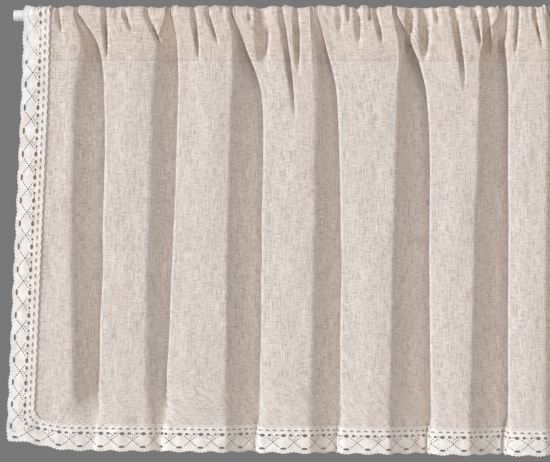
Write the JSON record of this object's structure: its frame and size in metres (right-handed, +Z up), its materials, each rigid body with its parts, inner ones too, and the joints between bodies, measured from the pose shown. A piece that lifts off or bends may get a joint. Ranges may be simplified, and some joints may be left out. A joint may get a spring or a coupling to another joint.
{
  "type": "cafe curtain on rod",
  "caption": "Short gathered linen cafe curtain with a rod pocket and a lace border down both sides and along the hem, hung on a slim round rod.",
  "frame": {"origin": "centre of the rod's left end face, seen from the room", "axes": "+X along the rod to the right, -Y towards the room, +Z up"},
  "size_m": [0.6474, 0.0291, 0.4525],
  "materials": {
    "rod": "white enamel",
    "linen": "natural slubbed linen",
    "lace": "cotton bobbin lace"
  },
  "bodies": {
    "root": {"rod": "rod", "linen_panel": "linen", "lace_hem": "lace", "lace_left": "lace", "lace_right": "lace"}
  },
  "joints": []
}
